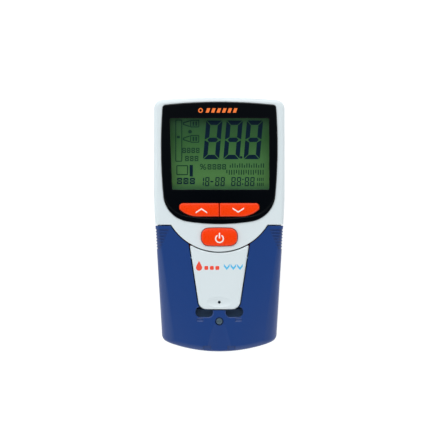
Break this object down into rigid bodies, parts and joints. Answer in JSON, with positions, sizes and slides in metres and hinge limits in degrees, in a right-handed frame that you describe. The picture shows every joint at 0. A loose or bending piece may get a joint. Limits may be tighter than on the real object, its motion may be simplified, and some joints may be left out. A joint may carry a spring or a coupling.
{
  "type": "glycated hemoglobin meter",
  "caption": "Handheld glycated hemoglobin meter with a segment display, up, down and power keys, a hinged sample lid, a cartridge slot and a sliding battery door.",
  "frame": {"origin": "middle of the footprint of the overall box, on the surface that the feet stand on", "axes": "+Y towards the display end, +X to the right of someone who reads the display, +Z out of the display face"},
  "size_m": [0.0734, 0.1432, 0.0347],
  "materials": {
    "white_abs": "fine satin moulded ABS",
    "blue_abs": "fine satin moulded ABS",
    "black_acrylic": "gloss back-printed acrylic",
    "clear_acrylic": "clear polished acrylic",
    "display_glass": "reflective segment display behind a polariser",
    "orange_abs": "semi-gloss moulded ABS with printed symbol",
    "silicone": "matt moulded silicone",
    "carbon_pill": "matt conductive rubber",
    "dark_plastic": "matt moulded ABS",
    "milky_acrylic": "frosted light guide",
    "circuit_board": "solder mask on glass-fibre laminate",
    "chip_epoxy": "matt moulded epoxy",
    "ceramic": "fired ceramic with tinned ends",
    "crystal_can": "drawn nickel-plated can",
    "steel": "zinc-plated steel",
    "spring_steel": "nickel-plated spring wire and strip",
    "cell_jacket": "plain printed cell jacket",
    "ribbon_film": "polyester film with tinned conductors",
    "socket_plastic": "natural nylon",
    "emitter_lens": "clear cast epoxy",
    "foot_rubber": "matt pressed rubber"
  },
  "bodies": {
    "case": {"upper_front_shell": "white_abs", "lower_front_cover": "blue_abs", "rear_shell": "white_abs", "hinge_pins": "steel", "display_panel": "black_acrylic", "display_window": "clear_acrylic", "display_glass": "display_glass", "display_frame": "dark_plastic", "backlight": "milky_acrylic", "connector_strips": "carbon_pill", "main_board": "circuit_board", "controller_chip": "chip_epoxy", "memory_chip": "chip_epoxy", "crystal": "crystal_can", "capacitors": "ceramic", "buzzer": "dark_plastic", "key_mat": "silicone", "up_dome": "silicone", "down_dome": "silicone", "power_dome": "silicone", "cartridge_tray": "dark_plastic", "optics_window": "clear_acrylic", "optical_block": "dark_plastic", "light_emitters": "emitter_lens", "light_sensors": "chip_epoxy", "sensor_board": "circuit_board", "cartridge_switch": "dark_plastic", "board_sockets": "socket_plastic", "ribbon_cable": "ribbon_film", "battery_cells": "cell_jacket", "battery_springs": "spring_steel", "battery_contacts": "spring_steel", "case_screws": "steel", "board_screws": "steel", "sensor_screws": "steel", "cover_screw": "steel", "rubber_feet": "foot_rubber"},
    "up_key": {"up_key": "orange_abs", "up_pill": "carbon_pill"},
    "down_key": {"down_key": "orange_abs", "down_pill": "carbon_pill"},
    "power_key": {"power_key": "orange_abs", "power_pill": "carbon_pill"},
    "sample_lid": {"sample_lid": "white_abs"},
    "battery_door": {"battery_door": "white_abs"}
  },
  "joints": [
    {"name": "up_key_press", "type": "slide", "parent": "case", "child": "up_key", "axis": [0, 0, -1], "range_m": [0, 0.0009], "stiffness_N_per_m": 1500, "deforming": ["up_dome"]},
    {"name": "down_key_press", "type": "slide", "parent": "case", "child": "down_key", "axis": [0, 0, -1], "range_m": [0, 0.0009], "stiffness_N_per_m": 1500, "deforming": ["down_dome"]},
    {"name": "power_key_press", "type": "slide", "parent": "case", "child": "power_key", "axis": [0, 0, -1], "range_m": [0, 0.0009], "stiffness_N_per_m": 1500, "deforming": ["power_dome"]},
    {"name": "lid_hinge", "type": "hinge", "parent": "case", "child": "sample_lid", "pos_m": [0, -0.0186, 0.03124], "axis": [-1, 0, 0], "range_deg": [0, 65]},
    {"name": "battery_door_slide", "type": "slide", "parent": "case", "child": "battery_door", "axis": [0, 1, 0], "range_m": [0, 0.012]}
  ]
}
